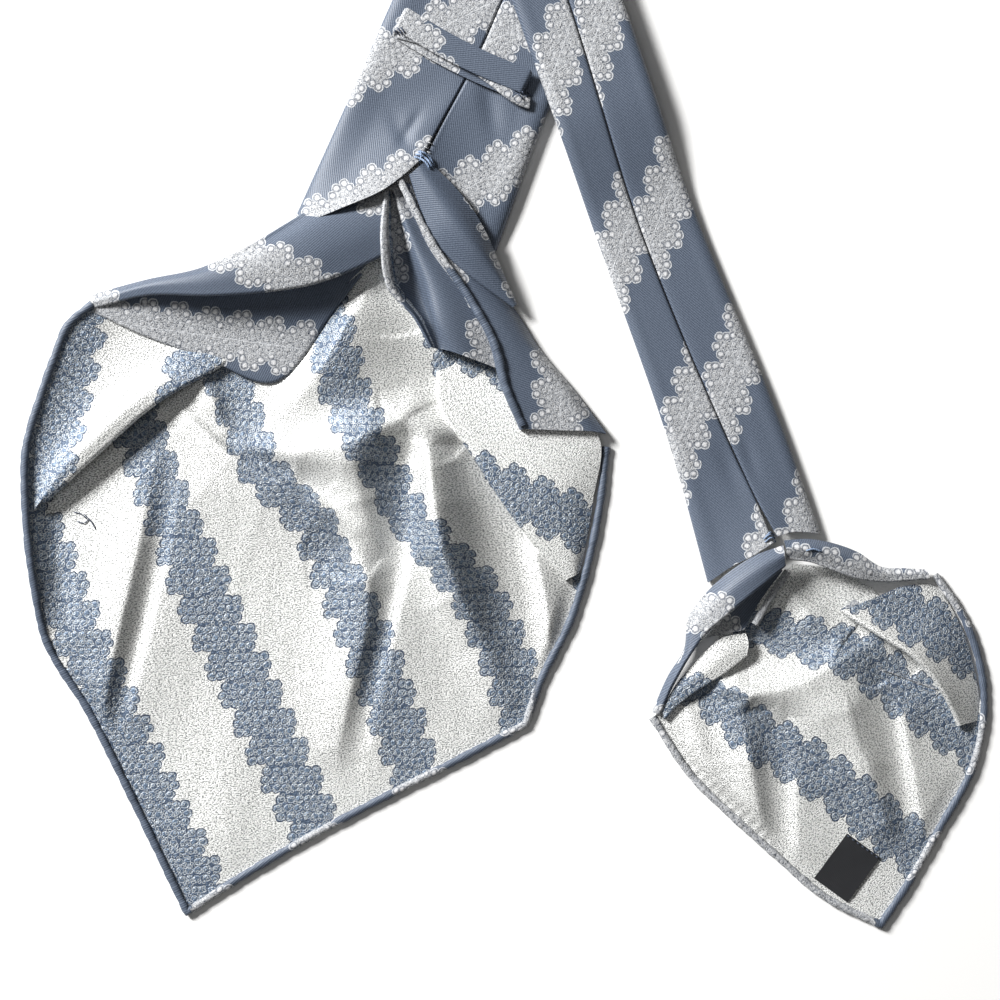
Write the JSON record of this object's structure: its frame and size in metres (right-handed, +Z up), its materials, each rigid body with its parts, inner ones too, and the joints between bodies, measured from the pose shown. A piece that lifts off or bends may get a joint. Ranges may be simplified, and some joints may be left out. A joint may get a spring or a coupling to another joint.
{
  "type": "seven-fold necktie",
  "caption": "Seven-fold tie lying flat, seam side up, with a keeper loop, a folded-over neck and both hand-rolled tips opened out.",
  "frame": {"origin": "on the surface that the tie lies on, below the centre of its bounding box", "axes": "+Y up the length of the tie from its two tips to the neck, +Z up out of the surface, +X to the right as seen from above, towards the tail's tip"},
  "size_m": [0.3624, 0.6352, 0.0162],
  "materials": {
    "silk_face": "fine slate-blue twill silk with woven light lace stripes",
    "silk_reverse": "silver-white silk satin with woven blue lace stripes",
    "silk_hem": "hand-rolled silk edge",
    "label_black": "black woven tape, bare"
  },
  "bodies": {
    "root": {"front_core": "silk_face", "front_back_left": "silk_face", "front_back_right": "silk_face", "front_sheet": "silk_reverse", "front_left_pleat": "silk_reverse", "front_left_under_fold": "silk_face", "front_left_roll": "silk_face", "front_right_petal": "silk_face", "front_right_band": "silk_face", "front_right_hollow_pleat": "silk_face", "front_right_turned_flap": "silk_reverse", "front_hem": "silk_hem", "keeper_loop": "silk_face", "neck_band": "silk_face", "tail_core": "silk_face", "tail_back_left": "silk_face", "tail_back_right": "silk_face", "tail_sheet": "silk_reverse", "tail_left_roll": "silk_face", "tail_left_inner_fold": "silk_face", "tail_left_turned_flap": "silk_reverse", "tail_narrow_roll": "silk_hem", "tail_top_fold": "silk_face", "tail_right_turned_flap": "silk_reverse", "tail_hem": "silk_hem", "care_label": "label_black"}
  },
  "joints": []
}
